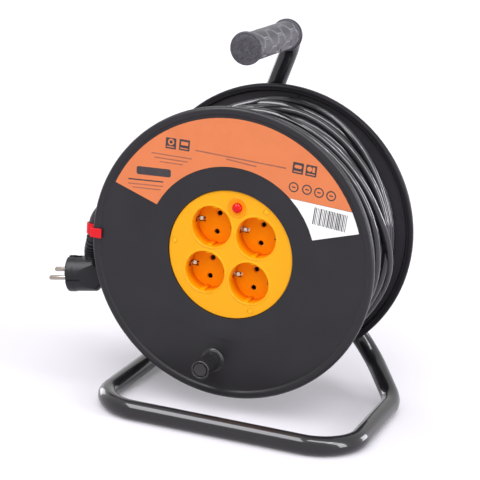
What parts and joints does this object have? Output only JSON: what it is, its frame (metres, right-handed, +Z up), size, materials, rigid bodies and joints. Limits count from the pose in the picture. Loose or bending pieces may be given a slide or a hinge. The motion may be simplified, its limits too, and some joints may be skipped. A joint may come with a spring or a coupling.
{
  "type": "extension cord reel",
  "caption": "Hand-wound extension cord reel on a bent tube stand with a grip, a plate of earthed sockets with a reset button, a crank knob, wound cable and a plug.",
  "frame": {"origin": "centre of the object's base on the ground, free end and plug left out", "axes": "+Z up, -Y towards the side with the sockets, drum axis along Y"},
  "size_m": [0.3614, 0.2346, 0.3805],
  "materials": {
    "black_tube": "gloss black powder coat",
    "grip_rubber": "satin",
    "drum_plastic": "satin black",
    "socket_plastic": "semi-gloss yellow-orange",
    "red_plastic": "gloss red",
    "cable_sheath": "semi-gloss",
    "steel": "zinc plated",
    "brass": "bare",
    "nickel": "nickel plated",
    "label_orange": "satin print",
    "label_white": "satin print",
    "nylon": "natural"
  },
  "bodies": {
    "stand": {"frame_tube": "black_tube", "handle_grip": "grip_rubber", "grip_end_cap": "grip_rubber", "axle_bracket": "steel", "axle_sleeve": "steel", "axle_bolt": "steel", "rear_saddle": "steel", "keeper_washer": "steel", "axle_nut": "steel", "thrust_washer": "nylon", "cable_tail": "cable_sheath", "strain_relief": "cable_sheath", "plug_body": "cable_sheath", "plug_pins": "nickel", "plug_earth": "nickel"},
    "drum": {"front_flange": "drum_plastic", "rear_flange": "drum_plastic", "socket_plate": "socket_plastic", "earth_bus": "nickel", "phase_bus": "brass", "neutral_bus": "brass", "cutout_body": "drum_plastic", "plate_screws": "steel", "screw_covers": "socket_plastic", "flange_screws": "steel", "knob_spindle": "steel", "label_orange": "label_orange", "label_white": "label_white", "cable_clip": "red_plastic", "cable_core": "cable_sheath", "cable_turns": "cable_sheath"},
    "knob": {"crank_knob": "drum_plastic", "knob_cap": "drum_plastic"},
    "button": {"reset_button": "red_plastic"}
  },
  "joints": [
    {"name": "drum_spin", "type": "hinge", "parent": "stand", "child": "drum", "pos_m": [-0.00105, 0, 0.1624], "axis": [0, 1, 0], "continuous": true, "deforming": ["cable_tail", "strain_relief"]},
    {"name": "knob_spin", "type": "hinge", "parent": "drum", "child": "knob", "pos_m": [-0.01154, -0.07, 0.0535], "axis": [0, 1, 0], "continuous": true},
    {"name": "reset_press", "type": "slide", "parent": "drum", "child": "button", "axis": [0, 1, 0], "range_m": [0, 0.0025], "stiffness_N_per_m": 400}
  ]
}
